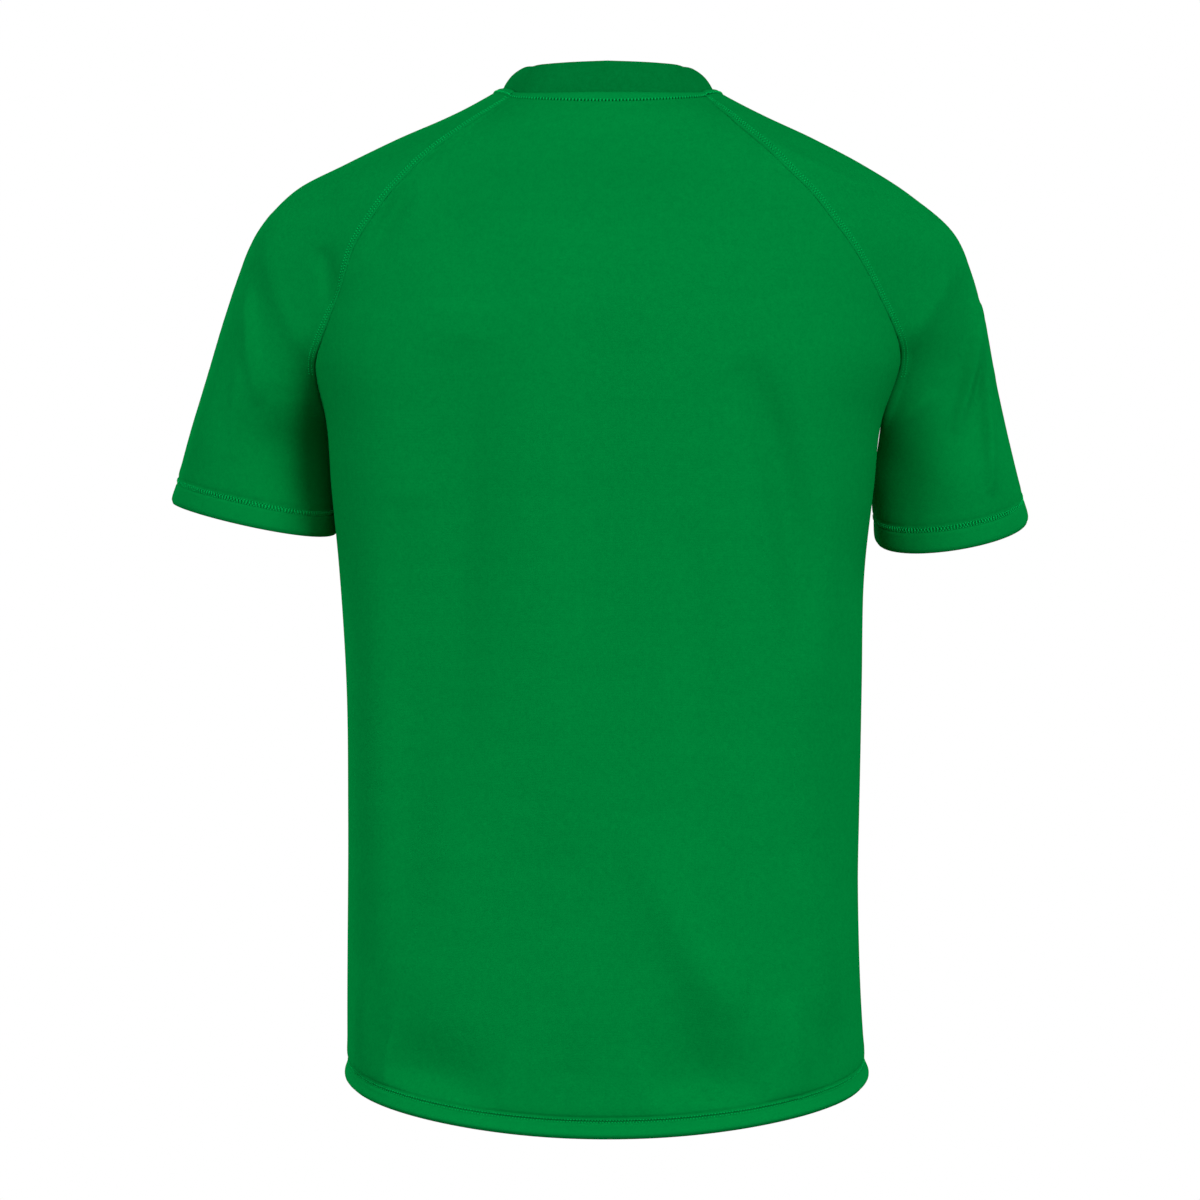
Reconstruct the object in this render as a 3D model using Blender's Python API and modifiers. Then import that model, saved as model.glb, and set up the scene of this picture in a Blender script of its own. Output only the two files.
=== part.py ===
"""A short-sleeved raglan rugby shirt, filled out as it is when worn, with nobody in it.

Metres, +Z up. The wearer faces -Y, with the left arm at +X. The origin is the middle of the neck
opening, level with the highest points of the shoulders. Each piece is a wall of cloth: an even
grid is laid on the piece's own form, and Solidify gives it its thickness inwards.
"""

from collections import namedtuple

import bmesh
import bpy
import numpy as np

CLOTH_THICKNESS = 0.0012
COLLAR_THICKNESS = 0.0024
SEAM_GAP = 0.0004
SIDE_HEM_Z = -0.703
HEM_CURVE = 1.2
NECK_CURVE = 1.0
SAG_FADE = 1.6

BACK, FRONT = 1, -1
LEFT, RIGHT = 1, -1
HEM_DROP = {BACK: 0.0328, FRONT: 0.0150}
NECK_DROP = {BACK: 0.0042, FRONT: 0.0660}

SEAM_ROWS = 15
PANEL_COLUMNS, PANEL_ROWS = 24, 12
SLEEVE_COLUMNS, SLEEVE_ROWS = 20, 5
COLLAR_COLUMNS, COLLAR_ROWS = 56, 3
LINE_SAMPLES, CURVE_SAMPLES, FOLD_SAMPLES = 181, 41, 33

# The body's level outline, from the neck down: half widths each side of the middle, the depth
# where the sides are widest, the back and front at the middle, and how square the oval is.
Level = namedtuple("Level", "z left right side_y back_y front_y squareness")
BODY = [
    Level(+0.010, 0.0790, 0.0790, -0.014, 0.0640, -0.0100, 2.00),
    Level(-0.005, 0.0940, 0.0940, -0.012, 0.0745, -0.0200, 2.00),
    Level(-0.024, 0.1360, 0.1350, -0.008, 0.0860, -0.0400, 2.05),
    Level(-0.046, 0.1800, 0.1770, -0.005, 0.0960, -0.0620, 2.10),
    Level(-0.070, 0.2030, 0.2010, -0.004, 0.1030, -0.0830, 2.15),
    Level(-0.100, 0.2105, 0.2095, -0.004, 0.1090, -0.1030, 2.20),
    Level(-0.150, 0.2130, 0.2125, -0.008, 0.1145, -0.1190, 2.30),
    Level(-0.192, 0.2125, 0.2120, -0.012, 0.1170, -0.1270, 2.40),
    Level(-0.232, 0.2030, 0.1985, -0.018, 0.1180, -0.1320, 2.50),
    Level(-0.280, 0.1990, 0.1928, -0.018, 0.1180, -0.1340, 2.50),
    Level(-0.340, 0.1932, 0.1858, -0.016, 0.1175, -0.1350, 2.50),
    Level(-0.420, 0.1880, 0.1821, -0.014, 0.1170, -0.1350, 2.50),
    Level(-0.520, 0.1867, 0.1808, -0.014, 0.1165, -0.1340, 2.50),
    Level(-0.640, 0.1872, 0.1827, -0.014, 0.1160, -0.1330, 2.50),
    Level(-0.740, 0.1868, 0.1894, -0.014, 0.1150, -0.1320, 2.50),
]

# The raglan seams, from the neck (0) to the underarm (1): the level, and the angle round the
# body's outline, 0 at the side and 90 at the middle of the back or front.
Seam = namedtuple("Seam", "run z angle")
FRONT_SEAM = [
    Seam(0.00, -0.016, 50.0),
    Seam(0.12, -0.040, 52.0),
    Seam(0.25, -0.066, 49.0),
    Seam(0.38, -0.093, 43.0),
    Seam(0.52, -0.121, 35.5),
    Seam(0.66, -0.152, 27.5),
    Seam(0.76, -0.175, 20.0),
    Seam(0.84, -0.192, 12.0),
    Seam(1.00, -0.232, 0.0),
]
SEAMS = {
    (LEFT, BACK): [
        Seam(0.00, -0.0012, 42.3),
        Seam(0.12, -0.0225, 46.5),
        Seam(0.25, -0.0475, 48.0),
        Seam(0.38, -0.0760, 43.8),
        Seam(0.52, -0.1110, 35.0),
        Seam(0.66, -0.1520, 27.5),
        Seam(0.76, -0.1790, 19.3),
        Seam(0.84, -0.1950, 11.3),
        Seam(1.00, -0.2320, 0.0),
    ],
    (RIGHT, BACK): [
        Seam(0.00, -0.0005, 39.7),
        Seam(0.12, -0.0250, 49.8),
        Seam(0.25, -0.0520, 51.3),
        Seam(0.38, -0.0800, 46.2),
        Seam(0.52, -0.1145, 36.8),
        Seam(0.66, -0.1490, 26.0),
        Seam(0.76, -0.1720, 16.8),
        Seam(0.84, -0.1880, 9.0),
        Seam(1.00, -0.2320, 0.0),
    ],
    (LEFT, FRONT): FRONT_SEAM,
    (RIGHT, FRONT): FRONT_SEAM,
}

# The sleeves, from the neck (0) past the underarm (1) to the cuff (1.32): the ridge along the top
# of the shoulder and arm, how roundly the cloth leaves the seam and comes to the ridge, and how
# far a row's back drops, in degrees.
Crest = namedtuple("Crest", "run out y z foot_round top_round slope")
CRESTS = {
    LEFT: [
        Crest(0.00, 0.0765, +0.004, +0.0044, 0.36, 0.36, 0.0),
        Crest(0.12, 0.1110, +0.002, -0.0144, 0.36, 0.36, 0.0),
        Crest(0.25, 0.1488, -0.001, -0.0308, 0.37, 0.37, 0.0),
        Crest(0.38, 0.1865, -0.004, -0.0480, 0.38, 0.38, 0.0),
        Crest(0.52, 0.2264, -0.007, -0.0680, 0.39, 0.39, 1.0),
        Crest(0.66, 0.2558, -0.014, -0.1015, 0.42, 0.41, 3.0),
        Crest(0.76, 0.2684, -0.021, -0.1309, 0.46, 0.44, 5.0),
        Crest(0.84, 0.2772, -0.028, -0.1550, 0.51, 0.47, 6.0),
        Crest(1.00, 0.2920, -0.039, -0.2005, 0.60, 0.50, 8.0),
        Crest(1.16, 0.3055, -0.050, -0.2415, 0.66, 0.47, 10.0),
        Crest(1.32, 0.3200, -0.066, -0.2900, 0.78, 0.42, 8.0),
    ],
    RIGHT: [
        Crest(0.00, 0.0780, +0.004, +0.0036, 0.36, 0.36, 0.0),
        Crest(0.12, 0.1117, +0.002, -0.0142, 0.36, 0.36, 0.0),
        Crest(0.25, 0.1481, -0.001, -0.0310, 0.37, 0.37, 0.0),
        Crest(0.38, 0.1838, -0.004, -0.0490, 0.38, 0.38, 0.0),
        Crest(0.52, 0.2202, -0.008, -0.0714, 0.39, 0.39, 1.0),
        Crest(0.66, 0.2526, -0.014, -0.0998, 0.42, 0.41, 3.0),
        Crest(0.76, 0.2653, -0.021, -0.1280, 0.46, 0.44, 6.0),
        Crest(0.84, 0.2724, -0.027, -0.1518, 0.51, 0.48, 9.0),
        Crest(1.00, 0.2835, -0.039, -0.2000, 0.58, 0.55, 12.0),
        Crest(1.16, 0.2965, -0.053, -0.2520, 0.60, 0.57, 15.0),
        Crest(1.32, 0.3100, -0.068, -0.3020, 0.62, 0.57, 18.0),
    ],
}
TURN_START = 0.58
CUFF_RUN = 1.32
UNDERARM_SWING, CUFF_SWING = 45.0, 90.0

# The line under each arm, from the underarm (1) to the cuff (1.32).
Under = namedtuple("Under", "run out y z")
UNDERS = {
    LEFT: [
        Under(1.00, 0.2030, -0.018, -0.232),
        Under(1.08, 0.2009, -0.036, -0.252),
        Under(1.16, 0.1984, -0.048, -0.273),
        Under(1.32, 0.1980, -0.060, -0.313),
    ],
    RIGHT: [
        Under(1.00, 0.1985, -0.018, -0.232),
        Under(1.08, 0.1968, -0.038, -0.254),
        Under(1.16, 0.1938, -0.050, -0.277),
        Under(1.32, 0.1975, -0.062, -0.319),
    ],
}

# The collar, by the share of the way round from the middle of the back (0) to the middle of the
# front (1): its height, and its lean towards the neck low, halfway and at the top, in degrees.
Stand = namedtuple("Stand", "share height low middle top")
COLLAR = [
    Stand(0.00, 0.0212, 3.0, 6.0, 10.0),
    Stand(0.15, 0.0209, 8.0, 14.0, 28.0),
    Stand(0.21, 0.0207, 12.0, 20.0, 35.0),
    Stand(0.28, 0.0203, 19.0, 32.0, 53.0),
    Stand(0.42, 0.0160, 24.0, 40.0, 67.0),
    Stand(0.60, 0.0172, 30.0, 38.0, 60.0),
    Stand(1.00, 0.0180, 34.0, 36.0, 42.0),
]

# The largest folds, by piece: the face of the shirt each lies on, where it starts, passes and
# ends, its half width and its depth. A trough's depth is above 0 and a ridge's is below.
Fold = namedtuple("Fold", "face start_x start_z middle_x middle_z end_x end_z width depth")
FOLDS = {
    "back_panel": [
        Fold(BACK, -0.094, -0.196, -0.128, -0.286, -0.140, -0.410, 0.020, +0.0080),
        Fold(BACK, +0.140, -0.290, +0.142, -0.450, +0.138, -0.620, 0.024, +0.0060),
        Fold(BACK, -0.016, -0.515, -0.060, -0.612, -0.098, -0.645, 0.020, -0.0045),
        Fold(BACK, +0.155, -0.688, +0.122, -0.696, +0.074, -0.710, 0.024, +0.0090),
        Fold(BACK, -0.028, -0.704, -0.068, -0.698, -0.112, -0.706, 0.024, +0.0090),
        Fold(BACK, +0.096, -0.180, +0.108, -0.334, +0.108, -0.520, 0.026, +0.0060),
        Fold(BACK, +0.033, -0.098, +0.046, -0.292, +0.038, -0.520, 0.026, -0.0055),
        Fold(BACK, +0.112, -0.086, -0.005, -0.088, -0.115, -0.090, 0.038, +0.0070),
        Fold(BACK, +0.104, -0.050, +0.094, -0.090, +0.096, -0.160, 0.030, +0.0060),
    ],
    "front_panel": [
        Fold(FRONT, +0.146, -0.212, +0.128, -0.280, +0.128, -0.380, 0.020, +0.0065),
        Fold(FRONT, -0.144, -0.300, -0.140, -0.450, -0.144, -0.600, 0.024, +0.0060),
        Fold(FRONT, +0.012, -0.490, +0.052, -0.580, +0.092, -0.620, 0.020, -0.0055),
        Fold(FRONT, -0.148, -0.672, -0.116, -0.682, -0.072, -0.690, 0.022, +0.0080),
        Fold(FRONT, +0.030, -0.690, +0.066, -0.684, +0.108, -0.690, 0.022, +0.0080),
    ],
    "left_sleeve": [
        Fold(BACK, +0.248, -0.102, +0.236, -0.154, +0.209, -0.208, 0.018, +0.0085),
        Fold(FRONT, +0.240, -0.118, +0.228, -0.168, +0.205, -0.222, 0.018, +0.0070),
    ],
    "right_sleeve": [
        Fold(BACK, -0.279, -0.122, -0.254, -0.180, -0.205, -0.250, 0.032, +0.0165),
        Fold(FRONT, -0.256, -0.124, -0.235, -0.166, -0.205, -0.224, 0.020, +0.0090),
    ],
}
SEAM_HOLD = 0.06
FACING = 4.0

GREEN_JERSEY = (0.0006, 0.195, 0.036, 1.0)
GREEN_RIB = (0.0006, 0.170, 0.032, 1.0)


def between(table, keys):
    """The columns of a table at any keys, on a smooth curve through its rows."""
    rows = np.array(table, float)
    if rows[0, 0] > rows[-1, 0]:
        rows = rows[::-1]
    known = rows[:, 0]
    slopes = np.gradient(rows, known, axis=0)
    keys = np.clip(np.asarray(keys, float), known[0], known[-1])
    low = np.clip(np.searchsorted(known, keys, side="right") - 1, 0, len(known) - 2)
    step = (known[low + 1] - known[low])[..., None]
    part = (keys - known[low])[..., None] / step
    flat, rise = part**2 * (3 - 2 * part), part * (1 - part)
    ends = rows[low] * (1 - flat) + rows[low + 1] * flat
    bend = slopes[low] * (1 - part) - slopes[low + 1] * part
    return ends + step * rise * bend


def unit(vectors):
    return vectors / np.linalg.norm(vectors, axis=-1, keepdims=True)


def evenly(points, fractions):
    """Points at these fractions of the length of the line through the given points."""
    steps = np.linalg.norm(np.diff(points, axis=0), axis=1)
    travel = np.concatenate([[0.0], np.cumsum(steps)])
    wanted = np.asarray(fractions) * travel[-1]
    return np.stack([np.interp(wanted, travel, column) for column in points.T], axis=-1)


def inset_fractions(points, columns, gap):
    """Even fractions along a line, stopping this far short of its ends."""
    length = np.linalg.norm(np.diff(points, axis=0), axis=1).sum()
    return np.linspace(gap / length, 1 - gap / length, columns + 1)


def body_point(angle, z, face):
    """A point of the body's form: angle 0 is the left side, a quarter turn the middle."""
    level = Level(*np.moveaxis(between(BODY, z), -1, 0))
    power = 2 / level.squareness
    across, deep = np.cos(angle), np.sin(angle)
    half = np.where(across > 0, level.left, level.right)
    middle_y = level.back_y if face == BACK else level.front_y
    x = half * np.sign(across) * np.abs(across) ** power
    y = level.side_y + (middle_y - level.side_y) * np.abs(deep) ** power
    return np.stack(np.broadcast_arrays(x, y, z), axis=-1)


def body_normal(angle, z, face):
    """The way out of the body's form at a point of it."""
    nudge = 0.001
    round_it = body_point(angle + nudge, z, face) - body_point(angle - nudge, z, face)
    up_it = body_point(angle, z + nudge, face) - body_point(angle, z - nudge, face)
    return unit(np.cross(round_it, up_it)) * face


def body_angle(x, z):
    """The angle at which the body's form is this far across, the way back from body_point."""
    level = Level(*np.moveaxis(between(BODY, z), -1, 0))
    half = np.where(x > 0, level.left, level.right)
    angle = np.arccos(np.clip(np.abs(x) / half, 0, 1) ** (level.squareness / 2))
    return np.where(x > 0, angle, np.pi - angle)


def seam_place(side, face, run):
    """The angle and level of a raglan seam, as body_point takes them."""
    _, z, angle = np.moveaxis(between(SEAMS[side, face], run), -1, 0)
    angle = np.radians(np.maximum(angle, 0.0))
    return (angle if side == LEFT else np.pi - angle), z


def panel_row(face, rise):
    """A line across the front or back. Its rise is 0 at the hem, 1 at the underarm, 2 at the neck."""
    above = max(rise - 1, 0.0)
    if above:
        left_angle, left_z = seam_place(LEFT, face, 1 - above)
        right_angle, right_z = seam_place(RIGHT, face, 1 - above)
        sag = NECK_DROP[face] * above**SAG_FADE
        curve = NECK_CURVE
    else:
        left_angle, right_angle = 0.0, np.pi
        left_z = SIDE_HEM_Z + rise * (UNDERS[LEFT][0].z - SIDE_HEM_Z)
        right_z = SIDE_HEM_Z + rise * (UNDERS[RIGHT][0].z - SIDE_HEM_Z)
        sag = HEM_DROP[face] * (1 - rise) ** SAG_FADE
        curve = HEM_CURVE
    angles = np.linspace(left_angle, right_angle, LINE_SAMPLES)
    steps = np.linalg.norm(np.diff(body_point(angles, (left_z + right_z) / 2, face), axis=0), axis=1)
    share = np.concatenate([[0.0], np.cumsum(steps)]) / steps.sum()
    z = left_z + share * (right_z - left_z) - sag * np.clip(np.sin(np.pi * share), 0, 1) ** curve
    line = body_point(angles, z, face)
    if above:
        ends = np.where(share < 0.5, line[0, 0], -line[-1, 0])
        x = line[:, 0] + above**2 * (ends * np.cos(np.pi * share) - line[:, 0])
        line = body_point(body_angle(x, z), z, face)
    return line


def panel_points(face):
    """The rows of a front or back panel, from hem to neck and from left to right."""
    below = np.linspace(0, 1, PANEL_ROWS + 1)
    above = np.linspace(1, 2, SEAM_ROWS + 1)[1:]
    rows = []
    for rise in np.concatenate([below, above]):
        line = panel_row(face, rise)
        rows.append(evenly(line, inset_fractions(line, PANEL_COLUMNS, SEAM_GAP / 2)))
    return np.array(rows)


def bezier(start, start_pull, end_pull, end, samples):
    t = np.linspace(0, 1, samples)[:, None]
    return (
        start * (1 - t) ** 3
        + (start + start_pull) * 3 * t * (1 - t) ** 2
        + (end + end_pull) * 3 * t**2 * (1 - t)
        + end * t**3
    )


def sleeve_half(side, face, run):
    """A sleeve's line from its seam, or the line under the arm, to the crest of the arm."""
    crest = Crest(*between(CRESTS[side], run))
    top = np.array([side * crest.out, crest.y, crest.z])
    slope = np.radians(crest.slope)
    behind = np.array([0.0, np.cos(slope), -np.sin(slope)]) * face
    turned = np.clip((run - TURN_START) / (1 - TURN_START), 0, 1)
    fold = turned**2 * (3 - 2 * turned)
    past = np.clip((run - 1) / (CUFF_RUN - 1), 0, 1)
    swing = np.radians(UNDERARM_SWING + (CUFF_SWING - UNDERARM_SWING) * past**2 * (3 - 2 * past))
    away = np.cos(swing) * np.array([side, 0.0, 0.0]) + np.sin(swing) * behind
    if run < 1:
        angle, z = seam_place(side, face, run)
        foot, outward = body_point(angle, z, face), body_normal(angle, z, face)
        along = unit(top - foot - outward * np.dot(top - foot, outward))
        foot = foot + outward * SEAM_GAP * fold
    else:
        under = Under(*between(UNDERS[side], run))
        foot = np.array([side * (under.out + SEAM_GAP), under.y, under.z])
        along = away
    leave = unit(along * (1 - fold) + away * fold)
    span = np.linalg.norm(top - foot)
    pull, push = leave * crest.foot_round * span, behind * crest.top_round * span
    return bezier(foot, pull, push, top, CURVE_SAMPLES)


def sleeve_row(side, run):
    """A line round a sleeve, from its back seam over the crest to its front seam."""
    behind, before = sleeve_half(side, BACK, run), sleeve_half(side, FRONT, run)
    return np.concatenate([behind, before[::-1][1:]])


def sleeve_points(side):
    """The rows of a sleeve, from cuff to neck."""
    below = np.linspace(CUFF_RUN, 1, SLEEVE_ROWS + 1)
    above = np.linspace(1, 0, SEAM_ROWS + 1)[1:]
    rows = []
    for run in np.concatenate([below, above]):
        line = sleeve_row(side, run)
        gap = SEAM_GAP / 2 if run < 1 else 0.0
        rows.append(evenly(line, inset_fractions(line, SLEEVE_COLUMNS, gap)))
    return np.array(rows)


def fold_depth(points, fold):
    """How far a fold takes each point in: most along its middle line, nothing past its ends."""
    t = np.linspace(0, 1, FOLD_SAMPLES)[:, None]
    start = np.array([fold.start_x, fold.start_z])
    middle = np.array([fold.middle_x, fold.middle_z])
    end = np.array([fold.end_x, fold.end_z])
    pull = 2 * middle - (start + end) / 2
    path = start * (1 - t) ** 2 + pull * 2 * t * (1 - t) + end * t**2
    distance = np.linalg.norm(points[..., None, [0, 2]] - path, axis=-1)
    along = np.sin(np.pi * t[distance.argmin(axis=-1), 0])
    return fold.depth * along * np.exp(-((distance.min(axis=-1) / fold.width) ** 2))


def folded(points, folds):
    """A piece's points with its folds put in, held where its side edges are sewn."""
    outward = unit(np.cross(np.gradient(points, axis=1), np.gradient(points, axis=0)))
    across = np.linspace(0, 1, points.shape[1])
    hold = np.clip(np.minimum(across, 1 - across) / SEAM_HOLD, 0, 1)
    depth = np.zeros(points.shape[:2])
    for fold in folds:
        facing = np.clip(FACING * outward[..., 1] * fold.face, 0, 1)
        depth += fold_depth(points, fold) * facing
    return points - outward * (depth * hold**2 * (3 - 2 * hold))[..., None]


def neckline():
    """The neck edge all round, from the middle of the back over the left shoulder."""
    back, front = panel_row(BACK, 2.0), panel_row(FRONT, 2.0)
    left, right = sleeve_row(LEFT, 0.0), sleeve_row(RIGHT, 0.0)
    half = len(back) // 2
    return np.concatenate(
        [back[half::-1], left[1:-1], front, right[::-1][1:-1], back[:half - 1:-1]]
    )


def collar_points():
    """The middle of the collar's wall, standing on the neck edge and leaning to the neck."""
    edge = evenly(neckline(), np.linspace(0, 1, COLLAR_COLUMNS + 1))
    along = np.roll(edge[:-1], -1, axis=0) - np.roll(edge[:-1], 1, axis=0)
    along = unit(np.concatenate([along, along[:1]]))
    up = np.array([0.0, 0.0, 1.0])
    rising = unit(up - along * along[:, 2:3])
    outward = np.cross(rising, along)
    share = 1 - np.abs(1 - 2 * np.linspace(0, 1, COLLAR_COLUMNS + 1))
    stand = Stand(*between(COLLAR, share).T)
    lean = np.radians([stand.low, stand.middle, stand.top]).T
    rows = [edge + rising * (1.5 * SEAM_GAP + COLLAR_THICKNESS / 2 * np.sin(lean[:, :1]))]
    for row in range(COLLAR_ROWS):
        height = (row + 0.5) / COLLAR_ROWS * 2
        low, high = (lean[:, 0], lean[:, 1]) if height < 1 else (lean[:, 1], lean[:, 2])
        tilt = (low + (high - low) * (height % 1))[:, None]
        step = stand.height[:, None] / COLLAR_ROWS
        rows.append(rows[-1] + step * (rising * np.cos(tilt) - outward * np.sin(tilt)))
    return np.array(rows)


def material(name, colour):
    made = bpy.data.materials.new(name)
    made.use_nodes = True
    made.diffuse_color = colour
    shader = made.node_tree.nodes["Principled BSDF"]
    shader.inputs["Base Color"].default_value = colour
    shader.inputs["Roughness"].default_value = 0.75
    shader.inputs["Metallic"].default_value = 0.0
    return made


def cloth(name, points, thickness, offset, look, collection):
    """A piece of cloth: a grid laid on these rows of points, its touching edges joined."""
    points = folded(points, FOLDS.get(name, []))
    rows, columns = points.shape[0] - 1, points.shape[1] - 1
    shape = bmesh.new()
    bmesh.ops.create_grid(shape, x_segments=columns, y_segments=rows, size=1.0)
    for vertex, place in zip(shape.verts, points.reshape(-1, 3)):
        vertex.co = place
    bmesh.ops.remove_doubles(shape, verts=shape.verts, dist=1e-6)
    mesh = bpy.data.meshes.new(name)
    shape.to_mesh(mesh)
    shape.free()
    mesh.shade_smooth()
    piece = bpy.data.objects.new(name, mesh)
    piece.data.materials.append(look)
    collection.objects.link(piece)
    wall = piece.modifiers.new("wall", "SOLIDIFY")
    wall.thickness = thickness
    wall.offset = offset
    return piece


def main():
    for thing in list(bpy.data.objects):
        bpy.data.objects.remove(thing)
    shirt = bpy.data.collections.new("rugby_shirt")
    bpy.context.scene.collection.children.link(shirt)
    jersey = material("green_jersey", GREEN_JERSEY)
    rib = material("green_rib", GREEN_RIB)
    cloth("back_panel", panel_points(BACK), CLOTH_THICKNESS, -1, jersey, shirt)
    cloth("front_panel", panel_points(FRONT)[:, ::-1], CLOTH_THICKNESS, -1, jersey, shirt)
    cloth("left_sleeve", sleeve_points(LEFT)[:, ::-1], CLOTH_THICKNESS, -1, jersey, shirt)
    cloth("right_sleeve", sleeve_points(RIGHT), CLOTH_THICKNESS, -1, jersey, shirt)
    cloth("collar", collar_points(), COLLAR_THICKNESS, 0, rib, shirt)


main()
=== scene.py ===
"""The looks of a green short-sleeved raglan rugby shirt, filled out as worn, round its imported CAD.

Metres, +Z up, the wearer facing -Y with the left arm at +X, and the origin in the middle of the
neck opening. Each piece of cloth is a fine grid laid on the CAD piece's own form, with its folds,
seams, turned hems and rows of stitches put in, and then given its thickness.
"""

from collections import namedtuple

import bmesh
import bpy
import numpy as np
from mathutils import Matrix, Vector


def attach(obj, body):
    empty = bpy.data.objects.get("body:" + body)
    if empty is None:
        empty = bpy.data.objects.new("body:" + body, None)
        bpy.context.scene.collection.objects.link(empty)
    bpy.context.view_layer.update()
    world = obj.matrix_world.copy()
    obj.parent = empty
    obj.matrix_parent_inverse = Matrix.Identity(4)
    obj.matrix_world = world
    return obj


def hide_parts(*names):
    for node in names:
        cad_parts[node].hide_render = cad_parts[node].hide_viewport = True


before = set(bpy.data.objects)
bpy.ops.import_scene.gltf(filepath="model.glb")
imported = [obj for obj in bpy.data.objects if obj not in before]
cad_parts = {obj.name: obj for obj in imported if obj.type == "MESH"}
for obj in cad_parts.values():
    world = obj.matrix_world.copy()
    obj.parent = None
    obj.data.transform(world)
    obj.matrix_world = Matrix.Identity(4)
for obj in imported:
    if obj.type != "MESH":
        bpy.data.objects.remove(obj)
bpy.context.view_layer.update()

BACK, FRONT = 1, -1
LEFT, RIGHT = 1, -1

# The thickness of the jersey and of the folded rib, and the gap at a seam.
MM = 0.001
JERSEY_THICKNESS = 0.8 * MM
COLLAR_THICKNESS = 2.2 * MM
SEAM_GAP = 0.03 * MM

# Where the hem ends at the side seams, how far it and the neck edge drop in the middle, how full
# their curves are, and how soon the rows of the cloth above or below them stop dropping.
SIDE_HEM_Z = -0.703
HEM_DROP = {BACK: 0.0328, FRONT: 0.0150}
NECK_DROP = {BACK: 0.0042, FRONT: 0.0660}
HEM_CURVE = 1.2
NECK_CURVE = 1.0
SAG_FADE = 1.6

# The body's level outline, from the neck down: half widths each side of the middle, the depth
# where the sides are widest, the back and front at the middle, and how square the oval is.
Level = namedtuple("Level", "z left right side_y back_y front_y squareness")
BODY = [
    Level(+0.010, 0.0790, 0.0790, -0.014, 0.0640, -0.0100, 2.00),
    Level(-0.005, 0.0940, 0.0940, -0.012, 0.0745, -0.0200, 2.00),
    Level(-0.024, 0.1360, 0.1350, -0.008, 0.0860, -0.0400, 2.05),
    Level(-0.046, 0.1800, 0.1770, -0.005, 0.0960, -0.0620, 2.10),
    Level(-0.070, 0.2030, 0.2010, -0.004, 0.1030, -0.0830, 2.15),
    Level(-0.100, 0.2105, 0.2095, -0.004, 0.1090, -0.1030, 2.20),
    Level(-0.150, 0.2130, 0.2125, -0.008, 0.1145, -0.1190, 2.30),
    Level(-0.192, 0.2125, 0.2120, -0.012, 0.1170, -0.1270, 2.40),
    Level(-0.232, 0.2030, 0.1985, -0.018, 0.1180, -0.1320, 2.50),
    Level(-0.280, 0.1990, 0.1928, -0.018, 0.1180, -0.1340, 2.50),
    Level(-0.340, 0.1932, 0.1858, -0.016, 0.1175, -0.1350, 2.50),
    Level(-0.420, 0.1880, 0.1821, -0.014, 0.1170, -0.1350, 2.50),
    Level(-0.520, 0.1867, 0.1808, -0.014, 0.1165, -0.1340, 2.50),
    Level(-0.640, 0.1872, 0.1827, -0.014, 0.1160, -0.1330, 2.50),
    Level(-0.740, 0.1868, 0.1894, -0.014, 0.1150, -0.1320, 2.50),
]

# The raglan seams, from the neck (0) to the underarm (1): the level, and the angle round the
# body's outline, 0 at the side and 90 at the middle of the back or front.
Seam = namedtuple("Seam", "run z angle")
FRONT_SEAM = [
    Seam(0.00, -0.016, 50.0),
    Seam(0.12, -0.040, 52.0),
    Seam(0.25, -0.066, 49.0),
    Seam(0.38, -0.093, 43.0),
    Seam(0.52, -0.121, 35.5),
    Seam(0.66, -0.152, 27.5),
    Seam(0.76, -0.175, 20.0),
    Seam(0.84, -0.192, 12.0),
    Seam(1.00, -0.232, 0.0),
]
SEAMS = {
    (LEFT, BACK): [
        Seam(0.00, -0.0012, 42.3),
        Seam(0.12, -0.0225, 46.5),
        Seam(0.25, -0.0475, 48.0),
        Seam(0.38, -0.0760, 43.8),
        Seam(0.52, -0.1110, 35.0),
        Seam(0.66, -0.1520, 27.5),
        Seam(0.76, -0.1790, 19.3),
        Seam(0.84, -0.1950, 11.3),
        Seam(1.00, -0.2320, 0.0),
    ],
    (RIGHT, BACK): [
        Seam(0.00, -0.0005, 39.7),
        Seam(0.12, -0.0250, 49.8),
        Seam(0.25, -0.0520, 51.3),
        Seam(0.38, -0.0800, 46.2),
        Seam(0.52, -0.1145, 36.8),
        Seam(0.66, -0.1490, 26.0),
        Seam(0.76, -0.1720, 16.8),
        Seam(0.84, -0.1880, 9.0),
        Seam(1.00, -0.2320, 0.0),
    ],
    (LEFT, FRONT): FRONT_SEAM,
    (RIGHT, FRONT): FRONT_SEAM,
}

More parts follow.
